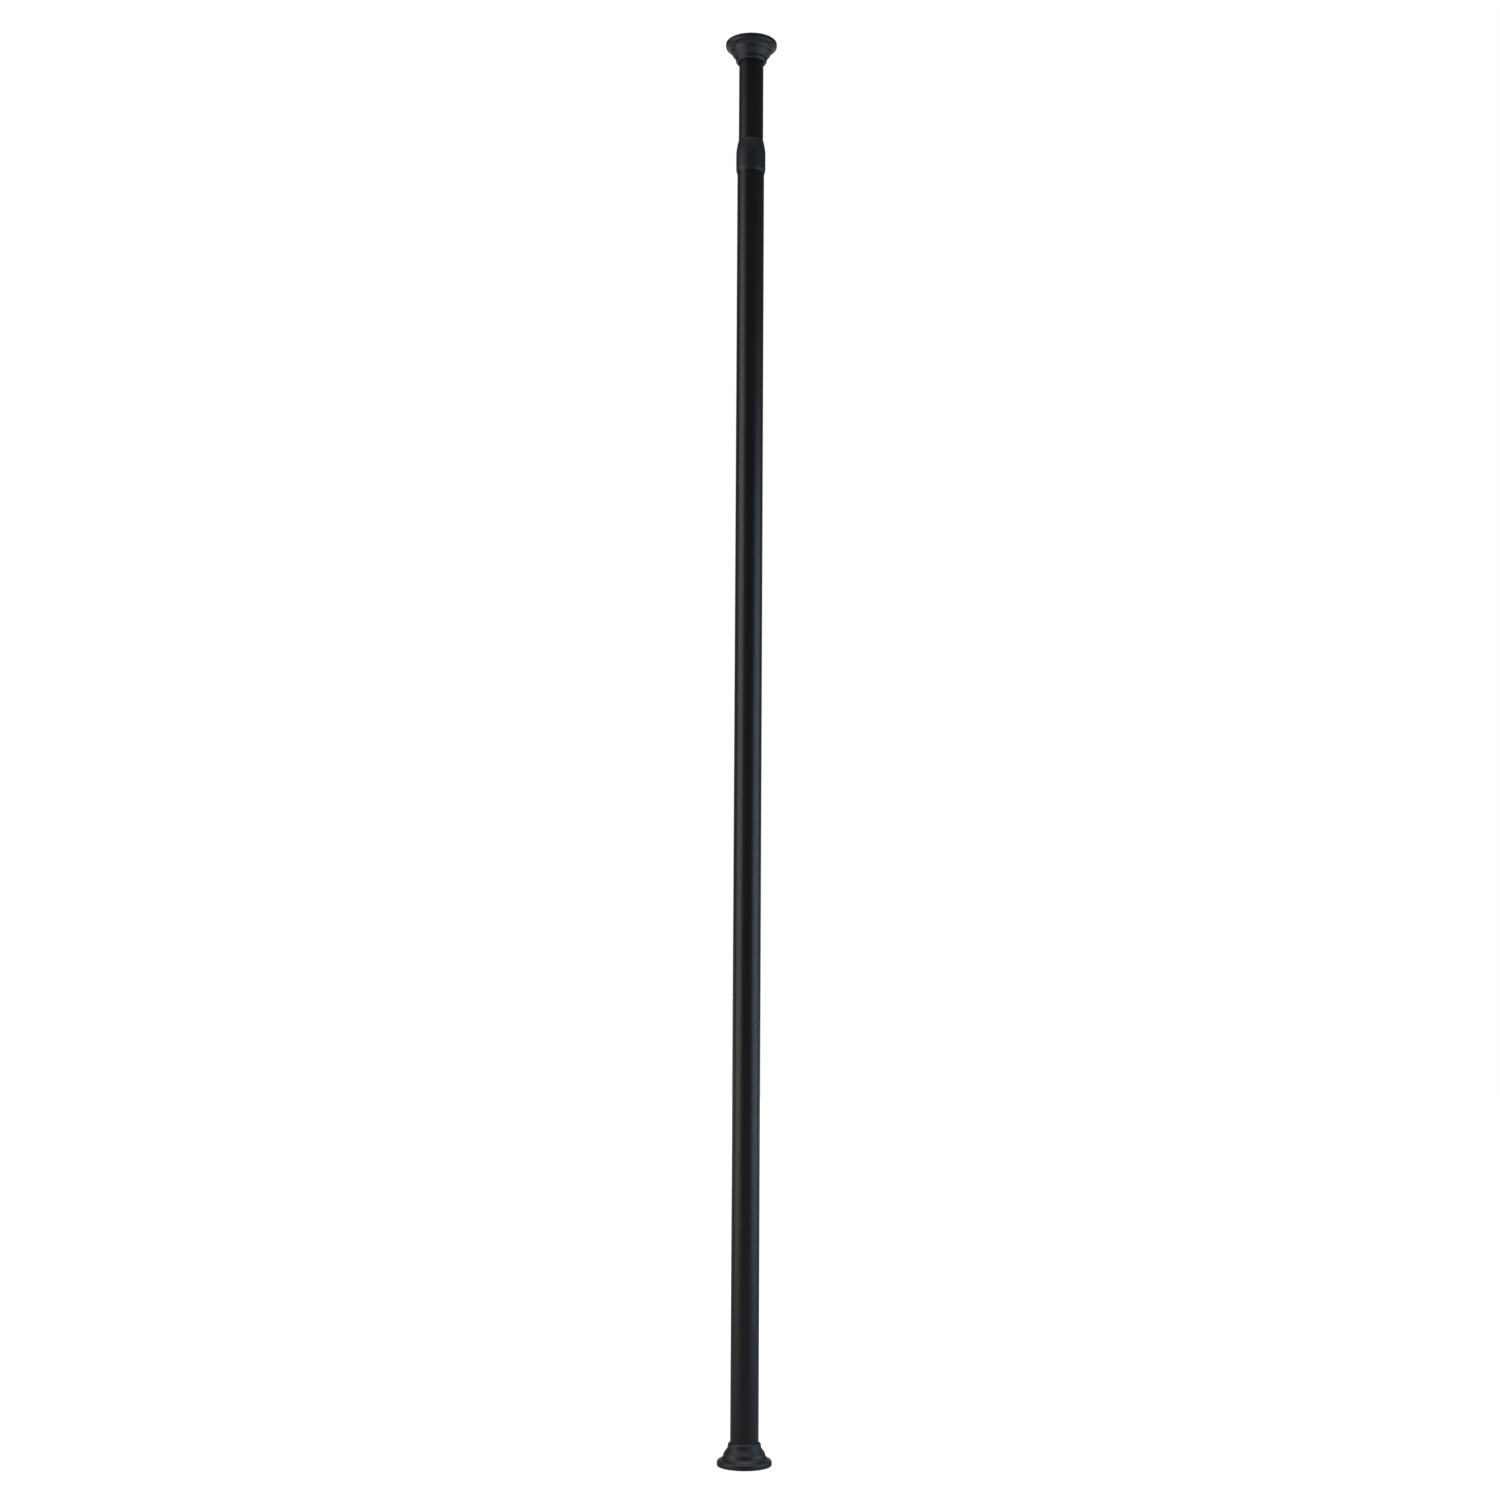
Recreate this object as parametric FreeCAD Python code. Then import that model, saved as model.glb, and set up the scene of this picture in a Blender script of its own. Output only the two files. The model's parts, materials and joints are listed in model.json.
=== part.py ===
import FreeCAD, Part
import math
import os
from FreeCAD import Placement, Rotation, Vector

# A spring tension rod of two telescoping tubes between two end caps, with its twist lock inside.
# Sizes are in millimetres. The rod stands on its foot: the origin is the middle of the foot's
# face, and +Z runs up the rod. Heights inside a cap are measured from that cap's own face.

# Tubes
outer_dia = 22.2        # outside of the lower tube
tube_wall = 0.5
tube_play = 0.45        # each side of the upper tube, where it slides in the lower one
outer_length = 1061.0
bare_inner = 68.8       # what shows of the upper tube between the collar and the head
crimp_depth = 0.9       # beads rolled into the upper tube near its ends
crimp_width = 4.0
crimp_inset = 10.0      # from the tube's end to the middle of its bead

# Clearances
seat_gap = 0.04         # between pieces that are pressed or pinned together
running_gap = 0.1       # each side of a piece that slides or turns in another
free_gap = 0.3          # where two pieces pass and are not meant to touch
stop_gap = 1.0          # left at the end of a travel

# Cover of an end cap, as turned
cap_height = 17.9
cap_rim_dia = 42.7
cover_wall = 1.6
rim_wall = 2.0
rim_lift = 0.4          # the rubber face stands this far proud of the rim
rim_round = 0.6
rim_band = 2.8          # height where the rounded shoulder starts
shoulder_high = 2.3     # height of the rounded shoulder
shoulder_in = 1.8       # and how far it comes in
bell_high = 3.8         # hollow flank above the shoulder
bell_in = 3.3
bell_sag = 0.62
step_high = 0.9         # narrow upright ring above the flank
step_in = 0.15
cove_high = 1.1         # small cove where the cone above that ring meets the neck
cove_in = 0.45
cove_sag = 0.08
neck_wall = 1.95        # neck, over the radius of the lower tube
neck_high = 3.5         # band round the neck, up to the mouth
neck_taper = 0.2
mouth_round = 1.6
mouth_wall = 0.5        # where the flat end of the mouth starts, over the radius of the lower tube
mouth_chamfer = 0.15    # on the inner edge of the mouth
snap_bead = 0.15        # ridge inside the rim that holds the rubber in
snap_width = 0.6
snap_height = 1.2
cover_ribs = 6
cover_rib_wall = 1.2

# Rubber pad and the moulded insert that it wraps
pad_floor = 2.0
pad_lip_wall = 1.3
pad_lip_high = 0.6
pad_lip_in = 1.4        # how far the lip reaches over the insert's flange
pad_round = 0.6
pad_grooves = 3
groove_width = 1.2
groove_depth = 0.6
groove_pitch = 4.0
groove_first = 7.0      # radius of the smallest groove
flange_wall = 2.0
plug_length = 22.0
plug_wall = 2.4
plug_slack = 0.25       # the foot's plug clears the tube, and its crush rings do not
crush_width = 1.2
crush_rings = 3
socket_high = 4.0
socket_wall = 1.8
insert_ribs = 6
insert_rib_wall = 1.4

# Collar over the end of the lower tube
collar_length = 27.4
collar_wall = 1.1
collar_roof = 4.4       # covers the end of the lower tube
collar_lip = 0.35       # wall left at the lower edge
collar_taper = 5.0      # lower edge comes in over this height, below a fine groove
ring_groove = 0.2
ring_groove_high = 0.4
crown_high = 11.0       # rounded upper end, from a faint corner
crown_in = 0.8
crown_sag = 0.13
mouth_high = 4.0        # last, steeper stretch of the crown
mouth_lip = 0.1
mouth_sag = 0.08

# Twist lock: a cam fixed to the spring housing, and a split shoe on its eccentric journal
cam_flange = 3.0
shoe_wall = 3.8         # mean wall of the shoe round the journal
journal_length = 14.0
journal_offset = 0.8
journal_wall = 3.0      # wall of the hollow journal
spigot_length = 12.0
shoe_slot = 8.0
shoe_chamfer = 0.8

# Spring housing
housing_play = 1.2      # each side of the housing in the lower tube
housing_wall = 2.0
housing_pin_dia = 2.0
cap_spigot = 4.0
cap_flange = 3.0

# Spring, plunger and screw
spring_wire = 1.3
spring_play = 1.15      # between the coil and the housing's bore
spring_turns = 8
spring_length = 60.0    # between its seats, already squeezed
spring_travel = 20.0    # how far the plunger can still squeeze it
plunger_length = 12.0
cross_pin_dia = 2.5
screw_dia = 8.0
screw_travel = 30.0
screw_head_dia = 12.0
screw_head_high = 4.0
washer_play = 2.15      # between the washer and the upper tube's bore
washer_high = 1.5

# Nut and glide ring at the lower end of the upper tube
nut_flange = 3.0
nut_length = 22.0
nut_wall = 2.0
nut_ribs = 4
nut_rib_wall = 1.6
glide_length = 16.0
glide_lip = 1.0
glide_lip_in = 2.0
glide_slit = 1.5

# Worked out from the sizes above
outer_r = outer_dia / 2
outer_bore_r = outer_r - tube_wall
inner_r = outer_bore_r - tube_play
inner_bore_r = inner_r - tube_wall
rim_r = cap_rim_dia / 2
pad_r = rim_r - rim_wall - seat_gap
flange_r = pad_r - pad_lip_wall
tube_seat = pad_floor + flange_wall
pad_top = tube_seat + pad_lip_high
plug_top = tube_seat + plug_length
crimp_r = inner_bore_r - crimp_depth
slide_r = outer_bore_r - running_gap
shoe_r = outer_bore_r - free_gap
journal_r = shoe_r - shoe_wall
cam_bore_r = journal_r - journal_wall
housing_r = outer_bore_r - housing_play
housing_bore_r = housing_r - housing_wall
coil_r = housing_bore_r - spring_play - spring_wire / 2
plunger_r = housing_bore_r - running_gap
screw_r = screw_dia / 2

# Heights up the rod, from the foot to the head
outer_top = tube_seat + outer_length
collar_top = outer_top + collar_roof
rod_length = collar_top + bare_inner + cap_height
inner_top = rod_length - tube_seat
collapse_travel = bare_inner - spring_travel - stop_gap
cam_low = plug_top + collapse_travel + stop_gap
journal_low = cam_low + cam_flange
cam_seat = journal_low + journal_length + cam_flange
spigot_top = cam_seat + spigot_length
plunger_low = spigot_top + spring_length
plunger_top = plunger_low + plunger_length
housing_top = plunger_top + running_gap + cap_spigot
stack_top = housing_top + cap_flange
glide_low = stack_top + spring_travel + stop_gap
nut_low = glide_low + glide_lip
inner_low = nut_low + nut_flange
nut_top = inner_low + nut_length
screw_head_low = nut_top + screw_travel + stop_gap + washer_high
cross_pin_z = (plunger_low + plunger_top) / 2
housing_pin_z = cam_seat + spigot_length / 2


def at(r, z):
    return Vector(r, 0, z)


def section(start, *steps):
    """Close an outline of (radius, height) points. A pair of points is an arc through the first."""
    edges = []
    here = start
    for step in steps + (start,):
        if isinstance(step[0], tuple):
            through, there = step
            edges.append(Part.Arc(at(*here), at(*through), at(*there)).toShape())
        else:
            there = step
            edges.append(Part.LineSegment(at(*here), at(*there)).toShape())
        here = there
    return Part.Face(Part.Wire(edges))


def turned(start, *steps):
    return section(start, *steps).revolve(Vector(0, 0, 0), Vector(0, 0, 1), 360)


def swell(upright, end):
    """Middle of the arc that leaves the first point along the axis and bends in to the second."""
    reach = upright[0] - end[0]
    rise = end[1] - upright[1]
    radius = (reach ** 2 + rise ** 2) / (2 * reach)
    half = math.atan2(rise, radius - reach) / 2
    return (upright[0] - radius * (1 - math.cos(half)), upright[1] + radius * math.sin(half))


def bow(start, end, sag):
    """Middle of the arc between two points that stands off their chord, to the right of its run."""
    run = math.dist(start, end)
    across = ((end[1] - start[1]) / run, (start[0] - end[0]) / run)
    middle = ((start[0] + end[0]) / 2, (start[1] + end[1]) / 2)
    return (middle[0] + sag * across[0], middle[1] + sag * across[1])


def disc(radius, low, high, x=0.0):
    return Part.makeCylinder(radius, high - low, Vector(x, 0, low))


def cross_bar(radius, reach, z):
    """Round bar along X, through the axis."""
    return Part.makeCylinder(radius, 2 * reach, Vector(-reach, 0, z), Vector(1, 0, 0))


def rib(wall, *outline):
    """Flat rib of the given wall in the XZ plane, centred on it."""
    return section(*outline).extrude(Vector(0, wall, 0)).translated(Vector(0, -wall / 2, 0))


def round_pattern(shape, count):
    step = 360 / count
    return [shape.rotated(Vector(0, 0, 0), Vector(0, 0, 1), step * n) for n in range(count)]


def fused(shape, others):
    return shape.fuse(others).removeSplitter()


def at_head(shape):
    """Turn a cap piece over and put it at the rod's upper end."""
    flipped = Placement(Vector(0, 0, rod_length), Rotation(Vector(1, 0, 0), 180))
    return shape.transformed(flipped.toMatrix())


def crimped_tube():
    """Upper tube, with a bead rolled into it near each end."""
    half = crimp_width / 2
    beads = (inner_top - crimp_inset, inner_low + crimp_inset)
    inside = []
    outside = []
    for z in beads:
        inside += [(inner_bore_r, z + half), ((crimp_r, z), (inner_bore_r, z - half))]
    for z in reversed(beads):
        outside += [(inner_r, z - half), ((inner_r - crimp_depth, z), (inner_r, z + half))]
    return turned((inner_bore_r, inner_top), *inside, (inner_bore_r, inner_low),
                  (inner_r, inner_low), *outside, (inner_r, inner_top))


def outer_tube():
    return disc(outer_r, tube_seat, outer_top).cut(disc(outer_bore_r, tube_seat, outer_top))


def joint_collar():
    low = collar_top - collar_length
    bore = outer_r + seat_gap
    mouth = inner_r + free_gap
    barrel = outer_r + collar_wall
    lower = (outer_r + collar_lip, low)
    taper = (barrel, low + collar_taper)
    groove_top = taper[1] + ring_groove_high
    crown = (barrel, collar_top - crown_high)
    steep = (barrel - crown_in, collar_top - mouth_high)
    top = (mouth + mouth_lip, collar_top)
    return turned((bore, low), lower, (swell(taper, lower), taper),
                  (barrel - ring_groove, taper[1]), (barrel - ring_groove, groove_top),
                  (barrel, groove_top), crown, (bow(crown, steep, crown_sag), steep),
                  (bow(steep, top, mouth_sag), top), (mouth, collar_top), (mouth, outer_top),
                  (bore, outer_top))


def cap_cover(tube_r, gap):
    """Turned-looking cover, open below, with ribs inside that centre it on its tube."""
    bore = tube_r + gap
    rim_bore = rim_r - rim_wall
    shoulder = (rim_r - shoulder_in, rim_band + shoulder_high)
    step = (shoulder[0] - bell_in, shoulder[1] + bell_high)
    flank = bow(shoulder, step, -bell_sag)
    step_top = (step[0] - step_in, step[1] + step_high)
    neck = (outer_r + neck_wall, cap_height - neck_high)
    cove = (neck[0] + cove_in, neck[1] - cove_high)
    lip = (neck[0] - neck_taper, cap_height - mouth_round)
    mouth = (outer_r + mouth_wall, cap_height)
    cavity_r = flank[0] - cover_wall
    under_step = (step_top[0] - cover_wall, step_top[1])
    under_neck = (bore, neck[1] - cover_wall)
    ridge = rim_bore - snap_bead
    shell = turned(
        (rim_bore, rim_lift), (rim_r - rim_round, rim_lift),
        (swell((rim_r, rim_lift + rim_round), (rim_r - rim_round, rim_lift)),
         (rim_r, rim_lift + rim_round)),
        (rim_r, rim_band), (swell((rim_r, rim_band), shoulder), shoulder), (flank, step),
        step_top, cove, (bow(cove, neck, -cove_sag), neck), lip, (swell(lip, mouth), mouth),
        (bore + mouth_chamfer, cap_height), (bore, cap_height - mouth_chamfer),
        under_neck, under_step,
        (cavity_r, flank[1]), (cavity_r, pad_top), (rim_bore, pad_top),
        (rim_bore, snap_height + snap_width),
        (ridge, snap_height + snap_width / 2), (rim_bore, snap_height))
    inside = step[0] - cover_wall / 2
    web_low = tube_seat + socket_high + free_gap
    web = rib(cover_rib_wall, (bore, web_low), (inside, web_low), (inside, step[1]),
              (bore, neck[1] - cover_wall / 2))
    return fused(shell, round_pattern(web, cover_ribs))


def foot_cover():
    return cap_cover(outer_r, running_gap)


def head_cover():
    return at_head(cap_cover(inner_r, free_gap))


def cap_pad():
    """Rubber pad: rings on its face, and a lip that wraps the insert's flange."""
    shelf = flange_r + seat_gap
    lip_r = flange_r - pad_lip_in
    notch = snap_bead + seat_gap
    face = []
    for n in reversed(range(pad_grooves)):
        r = groove_first + n * groove_pitch
        near, far = r - groove_width / 2, r + groove_width / 2
        face += [(far, 0.0), (far, groove_depth), (near, groove_depth), (near, 0.0)]
    return turned(
        (0.0, pad_floor), (shelf, pad_floor), (shelf, tube_seat + seat_gap),
        (lip_r, tube_seat + seat_gap), (lip_r, pad_top), (pad_r, pad_top),
        (pad_r, snap_height + snap_width + seat_gap),
        (pad_r - notch, snap_height + snap_width), (pad_r - notch, snap_height),
        (pad_r, snap_height - seat_gap), (pad_r, pad_round),
        (swell((pad_r, pad_round), (pad_r - pad_round, 0.0)), (pad_r - pad_round, 0.0)),
        *face, (0.0, 0.0))


def foot_pad():
    return cap_pad()


def head_pad():
    return at_head(cap_pad())


def insert_outline(socket_r, plug_r, plug_steps):
    """Flange, socket round the tube's end and hollow plug inside it, as an outline to turn."""
    socket_out = socket_r + socket_wall
    chamfer = plug_wall / 3
    hollow = plug_r - plug_wall
    return ((0.0, pad_floor), (flange_r, pad_floor), (flange_r, tube_seat),
            (socket_out, tube_seat), (socket_out, tube_seat + socket_high),
            (socket_r, tube_seat + socket_high), (socket_r, tube_seat), (plug_r, tube_seat),
            *plug_steps, (plug_r, plug_top - chamfer), (plug_r - chamfer, plug_top),
            (hollow, plug_top), (hollow, tube_seat), (0.0, tube_seat))


def with_flange_ribs(insert, socket_r):
    inside = socket_r + socket_wall / 2
    web = rib(insert_rib_wall, (inside, tube_seat - flange_wall / 2),
              (flange_r - pad_lip_in - free_gap, tube_seat - flange_wall / 2),
              (flange_r - pad_lip_in - free_gap, tube_seat),
              (socket_r + socket_wall, tube_seat + socket_high - insert_rib_wall),
              (inside, tube_seat + socket_high - insert_rib_wall))
    return fused(insert, round_pattern(web, insert_ribs))


def foot_insert():
    """Insert of the foot: rings on its plug are crushed by the lower tube and hold it."""
    plug_r = outer_bore_r - plug_slack
    ring_r = outer_bore_r - seat_gap
    pitch = plug_length / (crush_rings + 1)
    rings = []
    for n in range(crush_rings):
        z = tube_seat + (n + 1) * pitch
        rings += [(plug_r, z - crush_width / 2), (ring_r, z), (plug_r, z + crush_width / 2)]
    socket_r = outer_r + running_gap
    outline = insert_outline(socket_r, plug_r, rings)
    return with_flange_ribs(turned(*outline), socket_r)


def head_insert():
    """Insert of the head: it turns in the upper tube, and the tube's bead runs in its groove."""
    plug_r = inner_bore_r - running_gap
    half = crimp_width / 2 + free_gap
    floor = crimp_r - free_gap
    z = tube_seat + crimp_inset
    groove = [(plug_r, z - half), (floor, z - half), (floor, z + half), (plug_r, z + half)]
    socket_r = inner_r + free_gap
    outline = insert_outline(socket_r, plug_r, groove)
    return at_head(with_flange_ribs(turned(*outline), socket_r))


def lock_cam():
    """Two guide flanges, the eccentric journal between them and the spigot in the housing."""
    journal_top = journal_low + journal_length
    body = disc(slide_r, cam_low, journal_low)
    journal = disc(journal_r, journal_low, journal_top, journal_offset)
    upper = disc(slide_r, journal_top, cam_seat)
    spigot = disc(housing_bore_r - seat_gap, cam_seat, spigot_top)
    bore = disc(cam_bore_r, cam_low, spigot_top)
    pin_hole = cross_bar(housing_pin_dia / 2 + seat_gap, housing_r, housing_pin_z)
    return fused(body, [journal, upper, spigot]).cut(bore).cut(pin_hole)


def lock_shoe():
    """Split shoe that snaps over the journal. Its outside is round about the rod at rest."""
    low = journal_low + free_gap
    high = journal_low + journal_length - free_gap
    shoe = turned((0.0, low), (shoe_r - shoe_chamfer, low), (shoe_r, low + shoe_chamfer),
                  (shoe_r, high - shoe_chamfer), (shoe_r - shoe_chamfer, high), (0.0, high))
    bore = disc(journal_r + running_gap, low, high, journal_offset)
    slot = Part.makeBox(outer_r, shoe_slot, high - low, Vector(0, -shoe_slot / 2, low))
    return shoe.cut(bore).cut(slot)


def spring_housing():
    """Barrel round the spring, with two slots that guide the plunger's cross pin."""
    barrel = disc(housing_r, cam_seat, housing_top).cut(disc(housing_bore_r, cam_seat, housing_top))
    pin_hole = cross_bar(housing_pin_dia / 2 + seat_gap, housing_r, housing_pin_z)
    slot_r = cross_pin_dia / 2 + running_gap
    slot_low = cross_pin_z - spring_travel - free_gap
    slot_high = cross_pin_z + running_gap
    slot = Part.makeBox(2 * housing_r, 2 * slot_r, slot_high - slot_low,
                        Vector(-housing_r, -slot_r, slot_low))
    ends = [cross_bar(slot_r, housing_r, slot_low), cross_bar(slot_r, housing_r, slot_high)]
    return barrel.cut(pin_hole).cut(fused(slot, ends))


def housing_pin():
    return cross_bar(housing_pin_dia / 2, housing_r - free_gap, housing_pin_z)


def housing_cap():
    """Plug that closes the housing and guides the screw."""
    spigot = disc(housing_bore_r - seat_gap, housing_top - cap_spigot, housing_top)
    flange = disc(housing_r, housing_top, stack_top)
    bore = disc(screw_r + running_gap, housing_top - cap_spigot, stack_top)
    return fused(spigot, [flange]).cut(bore)


def tension_spring():
    """Open coil of round wire between the cam's spigot and the plunger."""
    coil_high = spring_length - spring_wire - 2 * seat_gap
    route = Part.makeHelix(coil_high / spring_turns, coil_high, coil_r)
    wire_end = Part.Wire(Part.makeCircle(spring_wire / 2, Vector(coil_r, 0, 0), Vector(0, 1, 0)))
    coil = Part.Wire(route.Edges).makePipeShell([wire_end], True, True)
    return coil.translated(Vector(0, 0, spigot_top + spring_wire / 2 + seat_gap))


def plunger():
    """Piston on the end of the screw, which squeezes the spring."""
    body = disc(plunger_r, plunger_low, plunger_top)
    bore = disc(screw_r + seat_gap, plunger_low, plunger_top)
    pin_hole = cross_bar(cross_pin_dia / 2 + seat_gap, housing_r, cross_pin_z)
    return body.cut(bore).cut(pin_hole)


def cross_pin():
    return cross_bar(cross_pin_dia / 2, housing_r - free_gap, cross_pin_z)


def adjusting_screw():
    """Long screw, with its head inside the upper tube. Its thread is left plain."""
    shank = disc(screw_r, plunger_low, screw_head_low)
    head = disc(screw_head_dia / 2, screw_head_low, screw_head_low + screw_head_high)
    pin_hole = cross_bar(cross_pin_dia / 2 + seat_gap, housing_r, cross_pin_z)
    return fused(shank, [head]).cut(pin_hole)


def stop_washer():
    low = screw_head_low - washer_high
    washer = disc(inner_bore_r - washer_play, low, screw_head_low)
    return washer.cut(disc(screw_r + seat_gap, low, screw_head_low))


def tube_nut():
    """Moulded nut in the end of the upper tube: a threaded hub in a ribbed sleeve."""
    bore = screw_r + running_gap
    hub = bore + nut_wall
    sleeve = inner_bore_r - seat_gap
    groove = crimp_r - running_gap
    hollow = groove - nut_wall
    half = crimp_width / 2 + running_gap
    z = inner_low + crimp_inset
    body = turned(
        (bore, nut_low), (inner_r, nut_low), (inner_r, inner_low), (sleeve, inner_low),
        (sleeve, z - half), (groove, z - half), (groove, z + half), (sleeve, z + half),
        (sleeve, nut_top), (hollow, nut_top), (hollow, inner_low), (hub, inner_low),
        (hub, nut_top), (bore, nut_top))
    web = rib(nut_rib_wall, (bore + nut_wall / 2, inner_low - nut_flange / 2),
              (groove - nut_wall / 2, inner_low - nut_flange / 2),
              (groove - nut_wall / 2, nut_top - nut_rib_wall),
              (bore + nut_wall / 2, nut_top - nut_rib_wall))
    return fused(body, round_pattern(web, nut_ribs))


def glide_ring():
    """Split sleeve that keeps the upper tube central in the lower one."""
    sleeve_r = inner_r + seat_gap
    top = glide_low + glide_length
    ring = turned(
        (inner_r - glide_lip_in, glide_low), (slide_r, glide_low), (slide_r, top),
        (sleeve_r, top), (sleeve_r, nut_low), (inner_r - glide_lip_in, nut_low))
    slit = Part.makeBox(outer_r, glide_slit, glide_length,
                        Vector(0, -glide_slit / 2, glide_low))
    return ring.cut(slit)


pieces = {
    "outer_tube": outer_tube,
    "joint_collar": joint_collar,
    "foot_cover": foot_cover,
    "foot_insert": foot_insert,
    "foot_pad": foot_pad,
    "lock_cam": lock_cam,
    "lock_shoe": lock_shoe,
    "spring_housing": spring_housing,
    "housing_pin": housing_pin,
    "housing_cap": housing_cap,
    "tension_spring": tension_spring,
    "plunger": plunger,
    "cross_pin": cross_pin,
    "adjusting_screw": adjusting_screw,
    "stop_washer": stop_washer,
    "tube_nut": tube_nut,
    "glide_ring": glide_ring,
    "inner_tube": crimped_tube,
    "head_insert": head_insert,
    "head_pad": head_pad,
    "head_cover": head_cover,
}

os.makedirs("parts", exist_ok=True)
for name, make in pieces.items():
    shape = make()
    shape.exportStep("parts/" + name + ".step")
    box = shape.BoundBox
    print(f"{name}: {len(shape.Solids)} solid, valid {shape.isValid()}, {shape.Volume:.1f} mm3,"
          f" z {box.ZMin:.2f} to {box.ZMax:.2f}, r {box.XMax:.2f}")
print(f"length {rod_length:.1f}, shorter by {collapse_travel:.1f}, spring seat {spigot_top:.2f}")
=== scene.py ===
import json
import math

import bpy
from bpy.props import FloatProperty, FloatVectorProperty, IntProperty, PointerProperty
from mathutils import Matrix, Vector


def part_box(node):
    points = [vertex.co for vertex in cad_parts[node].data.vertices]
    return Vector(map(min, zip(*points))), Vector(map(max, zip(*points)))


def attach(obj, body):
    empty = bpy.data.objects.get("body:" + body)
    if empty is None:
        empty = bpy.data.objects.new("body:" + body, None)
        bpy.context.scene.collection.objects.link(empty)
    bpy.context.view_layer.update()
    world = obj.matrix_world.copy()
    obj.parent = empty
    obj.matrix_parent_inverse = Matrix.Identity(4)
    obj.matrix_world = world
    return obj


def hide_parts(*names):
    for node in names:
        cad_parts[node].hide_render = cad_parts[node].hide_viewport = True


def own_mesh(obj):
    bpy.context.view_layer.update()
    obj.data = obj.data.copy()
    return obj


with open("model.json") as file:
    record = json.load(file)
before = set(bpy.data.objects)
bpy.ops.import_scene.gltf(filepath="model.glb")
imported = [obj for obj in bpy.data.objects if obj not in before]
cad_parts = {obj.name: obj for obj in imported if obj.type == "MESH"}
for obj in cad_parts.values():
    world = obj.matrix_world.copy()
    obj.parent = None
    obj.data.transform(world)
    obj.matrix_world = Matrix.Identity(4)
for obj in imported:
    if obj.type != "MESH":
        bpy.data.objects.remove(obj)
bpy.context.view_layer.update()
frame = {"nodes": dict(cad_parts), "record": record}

bl_info = {
    "name": "Spring Tension Rod",
    "version": (1, 0, 0),
    "blender": (4, 5, 0),
    "location": "3D View > Sidebar > Tension Rod",
    "description": "Models and finishes the pieces of a spring tension rod round its solids",
    "category": "Add Mesh",
}

MM = 0.001
TINY = 0.0001 * MM                  # points nearer than this count as one
MERGE = 0.001 * MM                  # points nearer than this are merged
HOLD = 0.35 * MM                    # from a corner to the point that holds its shading
ROUND_STEPS = 144                   # faces round a turned piece
THREAD_STEPS = 48                   # faces in a turn of a thread, of the spring or of a pin hole
ARC_STEPS = 8                       # faces along a rounded stretch
EDGE_STEPS = 3                      # faces across a rounded corner
WIRE_SIDES = 10                     # sides round the spring's wire
EASED_ANGLE = math.radians(28)      # corners that turn more than this are rounded
SHARP_ANGLE = math.radians(32)      # edges that turn more than this are shaded sharp
PLAIN_ANGLE = math.radians(0.5)     # faces that turn less than this become one plain face
WAVE_BAND = math.tau / 20           # from band to band of a wave pattern at a scale of 1

BODY_OF = {node: body for body, nodes in frame["record"]["behaviour"]["bodies"].items()
           for node in nodes}
SLOT_OF = {part["node"]: part["material_slot"] for part in frame["record"]["subparts"]}


def low_end(node):
    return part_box(node)[0].z


def high_end(node):
    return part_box(node)[1].z


def radius_of(node):
    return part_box(node)[1].x


def size(name, description, millimetres):
    """A length that the user can change, given in millimetres."""
    return FloatProperty(name=name, description=description, default=millimetres * MM, min=0.0,
                         unit="LENGTH", subtype="DISTANCE", precision=5)


def power(name, description, watts):
    """A lamp's power that the user can change."""
    return FloatProperty(name=name, description=description, default=watts, min=0.0, unit="POWER")


def tilt(name, description, degrees):
    """An angle that the user can change, given in degrees."""
    return FloatProperty(name=name, description=description, default=math.radians(degrees),
                         subtype="ANGLE")


def linear(hex_colour):
    """Turn an sRGB hex colour to the linear values that shaders and lamps take."""
    channels = [int(hex_colour[n:n + 2], 16) / 255 for n in (0, 2, 4)]
    return [c / 12.92 if c <= 0.04045 else ((c + 0.055) / 1.055) ** 2.4 for c in channels]


def colour(name, description, hex_colour):
    """A colour that the user can change, given as sRGB hex."""
    return FloatVectorProperty(name=name, description=description, subtype="COLOR", size=3,
                               default=linear(hex_colour), min=0.0, max=1.0)


class RodTubes(bpy.types.PropertyGroup):
    """Sizes of both tubes"""
    wall: size("Wall", "Thickness of both tubes", 0.5)
    edge: size("Edge", "Rounding left on the cut ends", 0.12)
    crimp_depth: size("Bead depth", "Depth of the beads rolled into the upper tube", 0.9)
    crimp_width: size("Bead width", "Width of the beads rolled into the upper tube", 4.0)
    crimp_inset: size("Bead inset", "From the tube's end to the middle of its bead", 10.0)


class RodCollar(bpy.types.PropertyGroup):
    """Sizes of the collar at the tubes' joint"""
    wall: size("Wall", "Thickness of the sleeve round the lower tube", 1.1)
    fit: size("Fit", "Gap between the sleeve and the tubes", 0.04)
    play: size("Play", "Gap between the collar's mouth and the upper tube", 0.3)
    lip: size("Lower lip", "Wall left at the lower edge", 0.35)
    taper: size("Lower taper", "Height over which the lower edge comes in", 5.0)
    groove: size("Groove depth", "Depth of the fine groove above the taper", 0.2)
    groove_high: size("Groove height", "Height of that groove", 0.4)
    crown_high: size("Crown height", "Height of the rounded upper end", 11.0)
    crown_in: size("Crown reach", "How far the crown comes in before its last stretch", 0.8)
    crown_sag: size("Crown sag", "Roundness of the crown, which leaves a faint corner", 0.13)
    mouth_high: size("Mouth height", "Height of the last, steeper stretch", 4.0)
    mouth_lip: size("Mouth lip", "Flat left round the mouth", 0.1)
    mouth_sag: size("Mouth sag", "Roundness of the last stretch", 0.08)
    edge: size("Edge", "Rounding of its corners", 0.1)


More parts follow.
